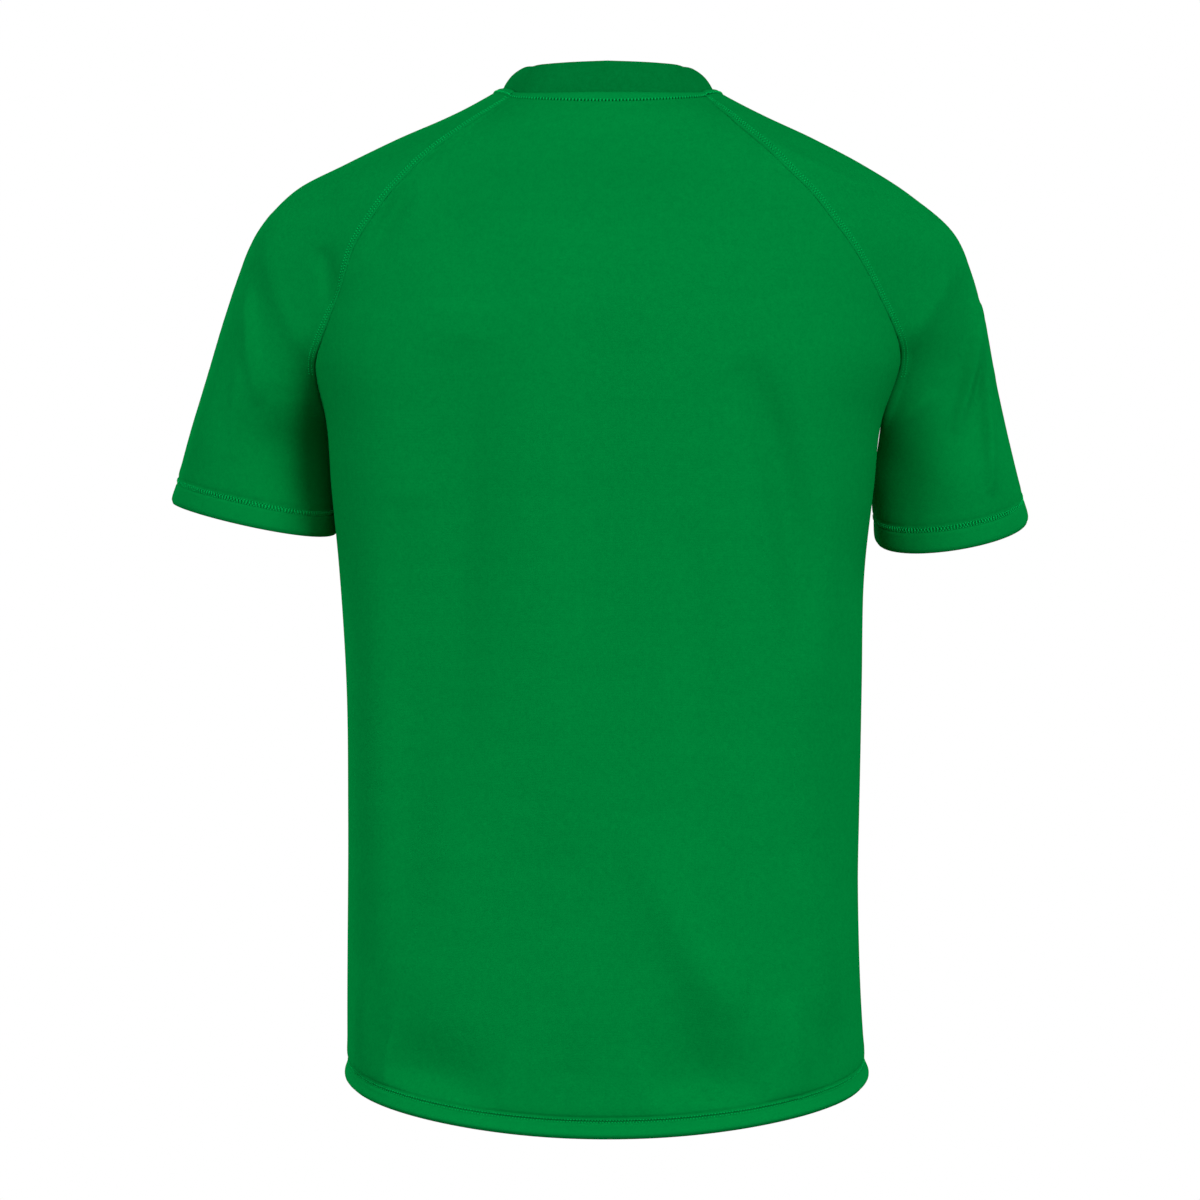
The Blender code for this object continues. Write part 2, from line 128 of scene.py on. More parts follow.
# The sleeves, from the neck (0) past the underarm (1) to the cuff (1.32): the ridge along the top
# of the shoulder and arm, how roundly the cloth leaves the seam and comes to the ridge, and how
# far a row's back drops, in degrees.
Crest = namedtuple("Crest", "run out y z foot_round top_round slope")
CRESTS = {
    LEFT: [
        Crest(0.00, 0.0765, +0.004, +0.0044, 0.36, 0.36, 0.0),
        Crest(0.12, 0.1110, +0.002, -0.0144, 0.36, 0.36, 0.0),
        Crest(0.25, 0.1488, -0.001, -0.0308, 0.37, 0.37, 0.0),
        Crest(0.38, 0.1865, -0.004, -0.0480, 0.38, 0.38, 0.0),
        Crest(0.52, 0.2264, -0.007, -0.0680, 0.39, 0.39, 1.0),
        Crest(0.66, 0.2558, -0.014, -0.1015, 0.42, 0.41, 3.0),
        Crest(0.76, 0.2684, -0.021, -0.1309, 0.46, 0.44, 5.0),
        Crest(0.84, 0.2772, -0.028, -0.1550, 0.51, 0.47, 6.0),
        Crest(1.00, 0.2920, -0.039, -0.2005, 0.60, 0.50, 8.0),
        Crest(1.16, 0.3055, -0.050, -0.2415, 0.66, 0.47, 10.0),
        Crest(1.32, 0.3200, -0.066, -0.2900, 0.78, 0.42, 8.0),
    ],
    RIGHT: [
        Crest(0.00, 0.0780, +0.004, +0.0036, 0.36, 0.36, 0.0),
        Crest(0.12, 0.1117, +0.002, -0.0142, 0.36, 0.36, 0.0),
        Crest(0.25, 0.1481, -0.001, -0.0310, 0.37, 0.37, 0.0),
        Crest(0.38, 0.1838, -0.004, -0.0490, 0.38, 0.38, 0.0),
        Crest(0.52, 0.2202, -0.008, -0.0714, 0.39, 0.39, 1.0),
        Crest(0.66, 0.2526, -0.014, -0.0998, 0.42, 0.41, 3.0),
        Crest(0.76, 0.2653, -0.021, -0.1280, 0.46, 0.44, 6.0),
        Crest(0.84, 0.2724, -0.027, -0.1518, 0.51, 0.48, 9.0),
        Crest(1.00, 0.2835, -0.039, -0.2000, 0.58, 0.55, 12.0),
        Crest(1.16, 0.2965, -0.053, -0.2520, 0.60, 0.57, 15.0),
        Crest(1.32, 0.3100, -0.068, -0.3020, 0.62, 0.57, 18.0),
    ],
}
CUFF_RUN = 1.32

# Where along its run a sleeve starts to close under the arm, and how far towards the back and the
# front the cloth heads where it leaves the line under the arm, in degrees.
TURN_START = 0.58
UNDERARM_SWING, CUFF_SWING = 45.0, 90.0

# The line under each arm, from the underarm (1) to the cuff (1.32).
Under = namedtuple("Under", "run out y z")
UNDERS = {
    LEFT: [
        Under(1.00, 0.2030, -0.018, -0.232),
        Under(1.08, 0.2009, -0.036, -0.252),
        Under(1.16, 0.1984, -0.048, -0.273),
        Under(1.32, 0.1980, -0.060, -0.313),
    ],
    RIGHT: [
        Under(1.00, 0.1985, -0.018, -0.232),
        Under(1.08, 0.1968, -0.038, -0.254),
        Under(1.16, 0.1938, -0.050, -0.277),
        Under(1.32, 0.1975, -0.062, -0.319),
    ],
}

# The collar, by the share of the way round from the middle of the back (0) to the middle of the
# front (1): its height, and its lean towards the neck low, halfway and at the top, in degrees.
Stand = namedtuple("Stand", "share height low middle top")
COLLAR = [
    Stand(0.00, 0.0212, 3.0, 6.0, 10.0),
    Stand(0.15, 0.0209, 8.0, 14.0, 28.0),
    Stand(0.21, 0.0207, 12.0, 20.0, 35.0),
    Stand(0.28, 0.0203, 19.0, 32.0, 53.0),
    Stand(0.42, 0.0160, 24.0, 40.0, 67.0),
    Stand(0.60, 0.0172, 30.0, 38.0, 60.0),
    Stand(1.00, 0.0180, 34.0, 36.0, 42.0),
]

# The folds, by piece: the face of the shirt each lies on, where it starts, passes and ends, its
# half width towards the middle of the body and away from it, and its depth. A trough's depth is
# above 0 and a ridge's is below. The large ones come first, then the small creases.
Fold = namedtuple("Fold", "face start_x start_z middle_x middle_z end_x end_z inner outer depth")
FOLDS = {
    "back_panel": [
        Fold(BACK, -0.094, -0.196, -0.128, -0.286, -0.140, -0.410, 0.018, 0.014, +0.0105),
        Fold(BACK, +0.140, -0.290, +0.142, -0.450, +0.138, -0.620, 0.024, 0.018, +0.0075),
        Fold(BACK, -0.016, -0.515, -0.060, -0.612, -0.098, -0.645, 0.015, 0.018, -0.0058),
        Fold(BACK, +0.155, -0.688, +0.122, -0.696, +0.074, -0.710, 0.030, 0.012, +0.0100),
        Fold(BACK, -0.028, -0.704, -0.068, -0.698, -0.112, -0.706, 0.012, 0.030, +0.0100),
        Fold(BACK, +0.096, -0.180, +0.108, -0.334, +0.108, -0.540, 0.024, 0.030, +0.0100),
        Fold(BACK, +0.033, -0.098, +0.046, -0.292, +0.038, -0.540, 0.024, 0.026, -0.0084),
        Fold(BACK, +0.125, -0.084, -0.005, -0.088, -0.125, -0.090, 0.042, 0.040, +0.0075),
        Fold(BACK, +0.120, -0.044, +0.106, -0.084, +0.102, -0.160, 0.044, 0.016, +0.0100),
        Fold(BACK, +0.134, -0.066, +0.152, -0.088, +0.168, -0.122, 0.010, 0.004, +0.0044),
        Fold(BACK, -0.052, -0.300, -0.064, -0.420, -0.058, -0.540, 0.014, 0.018, +0.0034),
        Fold(BACK, -0.132, -0.540, -0.152, -0.600, -0.156, -0.655, 0.014, 0.012, -0.0040),
        Fold(BACK, -0.040, -0.640, -0.058, -0.670, -0.066, -0.710, 0.014, 0.016, +0.0034),
        Fold(BACK, +0.026, -0.590, +0.019, -0.640, +0.022, -0.690, 0.018, 0.018, -0.0036),
        Fold(BACK, +0.172, -0.620, +0.174, -0.660, +0.175, -0.700, 0.008, 0.008, -0.0030),
        Fold(BACK, -0.126, -0.640, -0.131, -0.672, -0.132, -0.712, 0.011, 0.010, -0.0040),
        Fold(BACK, -0.154, -0.660, -0.157, -0.680, -0.160, -0.706, 0.007, 0.007, +0.0026),
        Fold(BACK, -0.172, -0.330, -0.176, -0.440, -0.172, -0.560, 0.010, 0.010, -0.0026),
    ],
    "front_panel": [
        Fold(FRONT, +0.146, -0.212, +0.128, -0.280, +0.128, -0.380, 0.018, 0.015, +0.0065),
        Fold(FRONT, -0.144, -0.300, -0.140, -0.450, -0.144, -0.600, 0.024, 0.018, +0.0060),
        Fold(FRONT, +0.012, -0.490, +0.052, -0.580, +0.092, -0.620, 0.016, 0.018, -0.0060),
        Fold(FRONT, -0.148, -0.672, -0.116, -0.682, -0.072, -0.690, 0.026, 0.010, +0.0085),
        Fold(FRONT, +0.030, -0.690, +0.066, -0.684, +0.108, -0.690, 0.010, 0.026, +0.0085),
        Fold(FRONT, -0.096, -0.230, -0.108, -0.340, -0.110, -0.490, 0.026, 0.026, +0.0036),
        Fold(FRONT, -0.030, -0.140, -0.040, -0.300, -0.036, -0.490, 0.030, 0.028, -0.0036),
        Fold(FRONT, +0.096, -0.105, +0.088, -0.150, +0.094, -0.205, 0.020, 0.024, +0.0034),
        Fold(FRONT, +0.060, -0.330, +0.068, -0.430, +0.062, -0.540, 0.014, 0.018, +0.0024),
        Fold(FRONT, +0.130, -0.530, +0.150, -0.590, +0.154, -0.645, 0.014, 0.012, -0.0040),
        Fold(FRONT, +0.042, -0.630, +0.058, -0.660, +0.066, -0.696, 0.014, 0.016, +0.0034),
        Fold(FRONT, -0.024, -0.580, -0.018, -0.630, -0.022, -0.675, 0.018, 0.018, -0.0036),
        Fold(FRONT, -0.168, -0.345, -0.174, -0.440, -0.170, -0.540, 0.010, 0.010, -0.0026),
    ],
    "left_sleeve": [
        Fold(BACK, +0.2575, -0.130, +0.2570, -0.170, +0.2500, -0.222, 0.0055, 0.006, -0.0038),
        Fold(BACK, +0.205, -0.112, +0.199, -0.132, +0.196, -0.156, 0.009, 0.006, +0.0036),
        Fold(BACK, +0.262, -0.175, +0.266, -0.215, +0.272, -0.262, 0.006, 0.006, -0.0020),
        Fold(BACK, +0.229, -0.215, +0.229, -0.250, +0.228, -0.300, 0.012, 0.013, -0.0020),
        Fold(BACK, +0.190, -0.070, +0.212, -0.074, +0.238, -0.090, 0.012, 0.012, +0.0022),
        Fold(FRONT, +0.240, -0.118, +0.228, -0.168, +0.205, -0.222, 0.007, 0.018, +0.0080),
        Fold(FRONT, +0.252, -0.140, +0.256, -0.190, +0.262, -0.250, 0.006, 0.007, -0.0028),
        Fold(FRONT, +0.206, -0.128, +0.200, -0.148, +0.198, -0.170, 0.009, 0.006, +0.0030),
    ],
    "right_sleeve": [
        Fold(BACK, -0.2660, -0.146, -0.2645, -0.182, -0.252, -0.242, 0.0045, 0.0055, -0.0066),
        Fold(BACK, -0.2690, -0.160, -0.2750, -0.224, -0.2785, -0.286, 0.0040, 0.0050, -0.0064),
        Fold(BACK, -0.198, -0.240, -0.217, -0.228, -0.238, -0.212, 0.006, 0.006, -0.0022),
        Fold(BACK, -0.076, -0.008, -0.134, -0.052, -0.210, -0.075, 0.005, 0.005, -0.0034),
        Fold(BACK, -0.282, -0.200, -0.288, -0.245, -0.292, -0.285, 0.006, 0.006, +0.0020),
        Fold(FRONT, -0.252, -0.122, -0.231, -0.162, -0.205, -0.218, 0.007, 0.022, +0.0105),
        Fold(FRONT, -0.258, -0.145, -0.262, -0.200, -0.268, -0.268, 0.004, 0.004, -0.0028),
        Fold(FRONT, -0.203, -0.235, -0.219, -0.226, -0.238, -0.214, 0.006, 0.006, -0.0028),
    ],
}

# The falls, by piece: the face of the shirt, the line the cloth drops away from, how far the drop
# reaches, how far it takes to come back, and how deep it goes.
Fall = namedtuple("Fall", "face start_x start_z middle_x middle_z end_x end_z reach back depth")
FALLS = {
    "left_sleeve": [
        Fall(BACK, +0.2500, -0.0960, +0.2350, -0.1500, +0.2010, -0.2160, 0.032, 0.040, 0.0138),
    ],
    "right_sleeve": [
        Fall(BACK, -0.2675, -0.1059, -0.2286, -0.1633, -0.1790, -0.2376, 0.050, 0.050, 0.0285),
    ],
}

# How far in from a sewn side edge the folds and the falls are at their full depth, how soon a fold
# fades where the cloth turns sideways, and the share of the room before the side a fall may take.
SEAM_HOLD = {
    "back_panel": 4 * MM,
    "front_panel": 4 * MM,
    "left_sleeve": 3 * MM,
    "right_sleeve": 3 * MM,
}
FALL_HOLD = 9 * MM
FACING = 8.0
FALL_ROOM = 0.85

# How far inside the neck edge the collar's band stands, and how far down behind it starts.
COLLAR_INSET = 0.1 * MM
COLLAR_TUCK = 3.0 * MM

# What sewing leaves in the cloth, by the distance in from an edge: a groove (depth above 0) or a
# ridge, at this distance, with this half width.
Mark = namedtuple("Mark", "at width depth")
HEM_MARKS = [
    Mark(0.0 * MM, 1.6 * MM, +2.00 * MM),
    Mark(2.6 * MM, 4.6 * MM, -2.20 * MM),
    Mark(11.9 * MM, 1.1 * MM, +2.10 * MM),
    Mark(14.8 * MM, 0.9 * MM, +1.60 * MM),
    Mark(16.9 * MM, 0.8 * MM, +0.20 * MM),
    Mark(22.0 * MM, 4.0 * MM, -0.25 * MM),
]
CUFF_MARKS = [
    Mark(0.0 * MM, 1.6 * MM, +1.30 * MM),
    Mark(5.0 * MM, 8.0 * MM, -0.80 * MM),
    Mark(15.4 * MM, 0.9 * MM, +0.75 * MM),
    Mark(18.0 * MM, 0.7 * MM, +0.15 * MM),
    Mark(20.2 * MM, 0.9 * MM, +0.40 * MM),
    Mark(25.0 * MM, 4.0 * MM, -0.20 * MM),
]
PLAIN_SEAM_MARKS = [
    Mark(0.0 * MM, 1.2 * MM, +0.25 * MM),
]
RAGLAN_PANEL_MARKS = [
    Mark(0.0 * MM, 0.9 * MM, +0.20 * MM),
]
RAGLAN_SLEEVE_MARKS = [
    Mark(0.0 * MM, 0.5 * MM, +0.40 * MM),
    Mark(1.3 * MM, 0.6 * MM, -0.20 * MM),
    Mark(2.8 * MM, 0.5 * MM, +0.20 * MM),
    Mark(5.3 * MM, 0.5 * MM, +0.20 * MM),
]
NECK_MARKS = [
    Mark(0.0 * MM, 1.2 * MM, +0.60 * MM),
]

# The small ripples that sewing leaves: how far in from the edge they are strongest, how far they
# spread, how long they are and how high.
Pucker = namedtuple("Pucker", "at spread wave height")
HEM_PUCKER = Pucker(14.0 * MM, 8 * MM, 16 * MM, 0.22 * MM)
SIDE_PUCKER = Pucker(3.0 * MM, 6 * MM, 17 * MM, 0.16 * MM)
CUFF_PUCKER = Pucker(17.5 * MM, 8 * MM, 14 * MM, 0.20 * MM)
RAGLAN_PUCKER = Pucker(4.0 * MM, 6 * MM, 15 * MM, 0.20 * MM)

# The turned strip below the collar, by piece: how deep it is in the middle and at its sides.
Strip = namedtuple("Strip", "middle side")
NECK_STRIPS = {
    "back_panel": Strip(8.4 * MM, 5.2 * MM),
    "front_panel": Strip(6.4 * MM, 5.2 * MM),
    "left_sleeve": Strip(5.2 * MM, 5.2 * MM),
    "right_sleeve": Strip(5.2 * MM, 5.2 * MM),
}

# How far the strip and the doubled cloth beside a raglan seam stand out, how wide the doubled cloth
# is, and how far above the underarm a sleeve's seam starts to show.
STRIP_RISE = 0.45 * MM
RAGLAN_RISE = 0.25 * MM
RAGLAN_BAND = 6.4 * MM
SEAM_FADE = 38 * MM

# How far doubled cloth takes on its lighter tone, at a hem, in the strip and at a raglan seam: partly
# the doubled cloth's own tone and partly painted light on these raised, turned bands.
HEM_TONE, STRIP_TONE, RAGLAN_TONE = 0.35, 0.4, 0.5

# The two rows of stitches, by how far in from the edge they run.
HEM_STITCHES = (13.6 * MM, 16.0 * MM)
CUFF_STITCHES = (16.6 * MM, 19.4 * MM)
RAGLAN_STITCHES = (2.8 * MM, 5.3 * MM)

# How finely the form's own lines are worked out.
LINE_SAMPLES, CURVE_SAMPLES, FOLD_SAMPLES = 721, 161, 33


def between(table, keys):
    """The columns of a table at any keys, on a smooth curve through its rows."""
    rows = np.array(table, float)
    if rows[0, 0] > rows[-1, 0]:
        rows = rows[::-1]
    known = rows[:, 0]
    slopes = np.gradient(rows, known, axis=0)
    keys = np.clip(np.asarray(keys, float), known[0], known[-1])
    low = np.clip(np.searchsorted(known, keys, side="right") - 1, 0, len(known) - 2)
    step = (known[low + 1] - known[low])[..., None]
    part = (keys - known[low])[..., None] / step
    flat, rise = smooth(part), part * (1 - part)
    ends = rows[low] * (1 - flat) + rows[low + 1] * flat
    bend = slopes[low] * (1 - part) - slopes[low + 1] * part
    return ends + step * rise * bend


def smooth(share):
    """A share from 0 to 1 with its start and its end eased."""
    return share**2 * (3 - 2 * share)


def unit(vectors):
    return vectors / np.linalg.norm(vectors, axis=-1, keepdims=True)


def travel(points):
    """How far each point of a line is along it."""
    steps = np.linalg.norm(np.diff(points, axis=0), axis=-1)
    return np.concatenate([np.zeros((1,) + steps.shape[1:]), np.cumsum(steps, axis=0)])


def travel_across(points):
    """How far each point of a grid is along its row."""
    return travel(points.swapaxes(0, 1)).T


def from_sides(across):
    """How far each point of a grid is from the nearer end of its row."""
    return np.minimum(across, across[:, -1:] - across)


def at_same(line, values, distances):
    """Values that go with the points of a line, at these distances along it."""
    known = travel(line)
    return np.stack([np.interp(distances, known, column) for column in values.T], axis=-1)


def at_distances(points, distances):
    """Points at these distances along the line through the given points."""
    return at_same(points, points, distances)


def body_point(angle, z, face):
    """A point of the body's form: angle 0 is the left side, a quarter turn the middle."""
    level = Level(*np.moveaxis(between(BODY, z), -1, 0))
    power = 2 / level.squareness
    across, deep = np.cos(angle), np.sin(angle)
    half = np.where(across > 0, level.left, level.right)
    middle_y = level.back_y if face == BACK else level.front_y
    x = half * np.sign(across) * np.abs(across) ** power
    y = level.side_y + (middle_y - level.side_y) * np.abs(deep) ** power
    return np.stack(np.broadcast_arrays(x, y, z), axis=-1)


def body_normal(angle, z, face):
    """The way out of the body's form at a point of it."""
    nudge = 0.001
    round_it = body_point(angle + nudge, z, face) - body_point(angle - nudge, z, face)
    up_it = body_point(angle, z + nudge, face) - body_point(angle, z - nudge, face)
    return unit(np.cross(round_it, up_it)) * face


def body_angle(x, z):
    """The angle at which the body's form is this far across, the way back from body_point."""
    level = Level(*np.moveaxis(between(BODY, z), -1, 0))
    half = np.where(x > 0, level.left, level.right)
    angle = np.arccos(np.clip(np.abs(x) / half, 0, 1) ** (level.squareness / 2))
    return np.where(x > 0, angle, np.pi - angle)


def seam_place(side, face, run):
    """The angle and level of a raglan seam, as body_point takes them."""
    _, z, angle = np.moveaxis(between(SEAMS[side, face], run), -1, 0)
    angle = np.radians(np.maximum(angle, 0.0))
    return (angle if side == LEFT else np.pi - angle), z


def panel_row(face, rise):
    """A line across the front or back. Its rise is 0 at the hem, 1 at the underarm, 2 at the neck."""
    above = max(rise - 1, 0.0)
    if above:
        left_angle, left_z = seam_place(LEFT, face, 1 - above)
        right_angle, right_z = seam_place(RIGHT, face, 1 - above)
        sag = NECK_DROP[face] * above**SAG_FADE
        curve = NECK_CURVE
    else:
        left_angle, right_angle = 0.0, np.pi
        left_z = SIDE_HEM_Z + rise * (UNDERS[LEFT][0].z - SIDE_HEM_Z)
        right_z = SIDE_HEM_Z + rise * (UNDERS[RIGHT][0].z - SIDE_HEM_Z)
        sag = HEM_DROP[face] * (1 - rise) ** SAG_FADE
        curve = HEM_CURVE
    angles = np.linspace(left_angle, right_angle, LINE_SAMPLES)
    share = travel(body_point(angles, (left_z + right_z) / 2, face))
    share = share / share[-1]
    z = left_z + share * (right_z - left_z)
    z = z - sag * np.clip(np.sin(np.pi * share), 0, 1) ** curve
    line = body_point(angles, z, face)
    if above:
        ends = np.where(share < 0.5, line[0, 0], -line[-1, 0])
        x = line[:, 0] + above**2 * (ends * np.cos(np.pi * share) - line[:, 0])
        line = body_point(body_angle(x, z), z, face)
    return line


def curve(start, start_pull, end_pull, end):
    """A curve between two points that leaves each the way its pull goes."""
    t = np.linspace(0, 1, CURVE_SAMPLES)[:, None]
    return (
        start * (1 - t) ** 3
        + (start + start_pull) * 3 * t * (1 - t) ** 2
        + (end + end_pull) * 3 * t**2 * (1 - t)
        + end * t**3
    )


def sleeve_half(side, face, run):
    """A sleeve's line from its seam, or the line under the arm, to the crest of the arm."""
    crest = Crest(*between(CRESTS[side], run))
    top = np.array([side * crest.out, crest.y, crest.z])
    slope = np.radians(crest.slope)
    behind = np.array([0.0, np.cos(slope), -np.sin(slope)]) * face
    closed = smooth(np.clip((run - TURN_START) / (1 - TURN_START), 0, 1))
    past = smooth(np.clip((run - 1) / (CUFF_RUN - 1), 0, 1))
    swing = np.radians(UNDERARM_SWING + (CUFF_SWING - UNDERARM_SWING) * past)
    away = np.cos(swing) * np.array([side, 0.0, 0.0]) + np.sin(swing) * behind
    if run < 1:
        angle, z = seam_place(side, face, run)
        foot, outward = body_point(angle, z, face), body_normal(angle, z, face)
        along = unit(top - foot - outward * np.dot(top - foot, outward))
        foot = foot + outward * SEAM_GAP * closed
    else:
        under = Under(*between(UNDERS[side], run))
        foot = np.array([side * (under.out + SEAM_GAP), under.y, under.z])
        along = away
    leave = unit(along * (1 - closed) + away * closed)
    span = np.linalg.norm(top - foot)
    return curve(foot, leave * crest.foot_round * span, behind * crest.top_round * span, top)


def sleeve_row(side, run):
    """A line round a sleeve, from its back seam over the crest to its front seam."""
    behind, before = sleeve_half(side, BACK, run), sleeve_half(side, FRONT, run)
    return np.concatenate([behind, before[::-1][1:]])


# How far in from a sewn side edge the grid's columns lie, before they spread evenly.
EDGE_COLUMNS = np.array([0.0, 0.4, 0.8, 1.2, 1.6, 2.0, 2.5, 3.1, 3.8, 4.5, 5.2, 6.0, 7.0, 8.2]) * MM
PANEL_COLUMNS, SLEEVE_COLUMNS = 200, 190


def spread(line, columns, gap):
    """Points along a line, closer together near its two sewn ends."""
    length = travel(line)[-1] - 2 * gap
    even = np.linspace(EDGE_COLUMNS[-1], length - EDGE_COLUMNS[-1], columns + 1)[1:-1]
    places = np.concatenate([EDGE_COLUMNS, even, length - EDGE_COLUMNS[::-1]])
    return at_distances(line, gap + places)


def row_places(start, *bands):
    """Places for rows from a start on, in bands: where each ends and its number of rows."""
    places = [[start]]
    for end, rows in bands:
        places.append(np.linspace(places[-1][-1], end, rows + 1)[1:])
    return np.concatenate(places)


def panel_points(face):
    """The rows of a front or back panel, from hem to neck and from left to right."""
    rises = row_places(0, (0.045, 26), (1, 94), (1.94, 61), (2, 21))
    return np.array([spread(panel_row(face, rise), PANEL_COLUMNS, SEAM_GAP / 2) for rise in rises])


# The rows of a sleeve's grid in its cuff, up to its underarm, up to its neck and at its neck.
CUFF_ROWS, BELOW_ROWS, ABOVE_ROWS, NECK_ROWS = 26, 36, 110, 18
UNDERARM_ROW = CUFF_ROWS + BELOW_ROWS
EVENED_ROWS, EVENED_HOLD = 12, 14 * MM


def relaxed(points, row, reach):
    """A sleeve's points with the corner along this row evened out, except beside the seams."""
    weights = np.hanning(2 * reach + 3)[1:-1]
    padded = np.pad(points, ((reach, reach), (0, 0), (0, 0)), mode="edge")
    even = sum(w * padded[k : k + len(points)] for k, w in enumerate(weights)) / weights.sum()
    free = np.clip(from_sides(travel_across(points)) / EVENED_HOLD, 0, 1)
    near = np.exp(-(((np.arange(len(points)) - row) / reach) ** 2))[:, None]
    return points + (even - points) * (near * smooth(free))[..., None]


def sleeve_points(side):
    """The rows of a sleeve, from cuff to neck."""
    bands = (1.24, CUFF_ROWS), (1, BELOW_ROWS), (0.05, ABOVE_ROWS), (0, NECK_ROWS)
    rows = []
    for run in row_places(CUFF_RUN, *bands):
        gap = SEAM_GAP / 2 if run < 1 else 0.0
        rows.append(spread(sleeve_row(side, run), SLEEVE_COLUMNS, gap))
    return relaxed(np.array(rows), UNDERARM_ROW, EVENED_ROWS)


def outward_of(points):
    """The way out of a piece's rows of points, seen from outside with the rows going up."""
    return unit(np.cross(np.gradient(points, axis=1), np.gradient(points, axis=0)))


def step_down(distance, edge, softness):
    """1 nearer than an edge and 0 past it, with a soft step between."""
    return 0.5 - 0.5 * np.tanh((distance - edge) / softness)


def from_line(points, fold):
    """How far each point is from a fold's line, whether outside it, and its share of the line."""
    t = np.linspace(0, 1, FOLD_SAMPLES)
    start = np.array([fold.start_x, fold.start_z])
    middle = np.array([fold.middle_x, fold.middle_z])
    end = np.array([fold.end_x, fold.end_z])
    pull = 2 * middle - (start + end) / 2
    path = np.outer((1 - t) ** 2, start) + np.outer(2 * t * (1 - t), pull) + np.outer(t**2, end)
    distance = np.full(points.shape[:2], np.inf)
    share = np.zeros(points.shape[:2])
    outer = np.ones(points.shape[:2], bool)
    flat = points[..., [0, 2]]
    away = np.sign(fold.middle_x)
    for here, there, first in zip(path[:-1], path[1:], t):
        way = there - here
        part = np.clip(((flat - here) @ way) / (way @ way), 0, 1)
        offset = flat - here - part[..., None] * way
        gap = np.linalg.norm(offset, axis=-1)
        outside = (offset[..., 0] * way[1] - offset[..., 1] * way[0]) * away < 0
        nearer = gap < distance
        distance = np.where(nearer, gap, distance)
        share = np.where(nearer, first + part * t[1], share)
        outer = np.where(nearer, outside, outer)
    return distance, outer, share


def fold_depth(points, fold):
    """How far a fold takes each point in: most along its middle line, nothing past its ends."""
    distance, outer, share = from_line(points, fold)
    ends = np.clip(np.sin(np.pi * share), 0, 1) ** 0.65
    width = np.where(outer, fold.outer, fold.inner)
    return fold.depth * ends * np.exp(-((distance / width) ** 2))


def fall_depth(points, fall):
    """How far a fall takes each point in: at once past its line, then less and less."""
    distance, outer, share = from_line(points, fall)
    ends = smooth(np.clip(share / 0.15, 0, 1)) * smooth(np.clip((1 - share) / 0.45, 0, 1))
    past = np.where(outer, distance, -distance)
    past = (past + np.hypot(past, 3 * MM)) / 2
    drop = 1 - np.clip(1 - past / fall.reach, 0, 1) ** 2.2
    back = np.exp(-((np.maximum(past - fall.reach, 0) / fall.back) ** 2))
    return fall.depth * ends * drop * back


def folded(points, name):
    """A piece's points with its falls and folds put in, held where its side edges are sewn."""
    outward = outward_of(points)
    sides = from_sides(travel_across(points))
    points = points.copy()
    for fall in FALLS.get(name, []):
        outermost = np.abs(points[..., 0]).argmax(axis=1)[:, None]
        edge = np.take_along_axis(points[..., 1], outermost, axis=1)
        room = FALL_ROOM * np.maximum((points[..., 1] - edge) * fall.face, 0) + 1e-6
        drop = room * np.tanh(fall_depth(points, fall) * np.clip(sides / FALL_HOLD, 0, 1) / room)
        points[..., 1] -= np.where(outward[..., 1] * fall.face > 0, drop, 0) * fall.face
    outward = outward_of(points)
    depth = np.zeros(points.shape[:2])
    for fold in FOLDS[name]:
        facing = np.clip(FACING * outward[..., 1] * fold.face, 0, 1)
        depth += fold_depth(points, fold) * facing
    hold = smooth(np.clip(sides / SEAM_HOLD[name], 0, 1))
    return points - outward * (depth * hold)[..., None]


def marked(distance, marks):
    """How far in the marks take the cloth at these distances from the edge."""
    depth = np.zeros_like(distance)
    for mark in marks:
        depth += mark.depth * np.exp(-(((distance - mark.at) / mark.width) ** 2))
    return depth


def wobble(along, wave, seed):
    """An uneven ripple between -1 and 1, of about this wave length."""
    turn = 2 * np.pi * along / wave
    first, second = np.sin(turn + 1.7 * seed), np.sin(0.63 * turn + 2.9 * seed)
    return 0.45 * first + 0.35 * second + 0.2 * np.sin(1.71 * turn + 0.6 * seed)


def puckered(pucker, distance, along, seed):
    """How far in a seam's ripples take the cloth at these distances from it and along it."""
    near = np.exp(-(((distance - pucker.at) / pucker.spread) ** 2))
    return pucker.height * wobble(along, pucker.wave, seed) * near


def flat_map(points):
    """Each point's place on the piece laid flat, in metres: across from its middle, and up."""
    across = travel_across(points)
    across = across - across[:, -1:] / 2
    up = travel(points)
    return np.stack([across, np.broadcast_to(up.mean(axis=1, keepdims=True), across.shape)], axis=-1)


def placed(name, data):
    """A new object in the scene, at the origin."""
    thing = bpy.data.objects.new(name, data)
    bpy.context.scene.collection.objects.link(thing)
    return thing


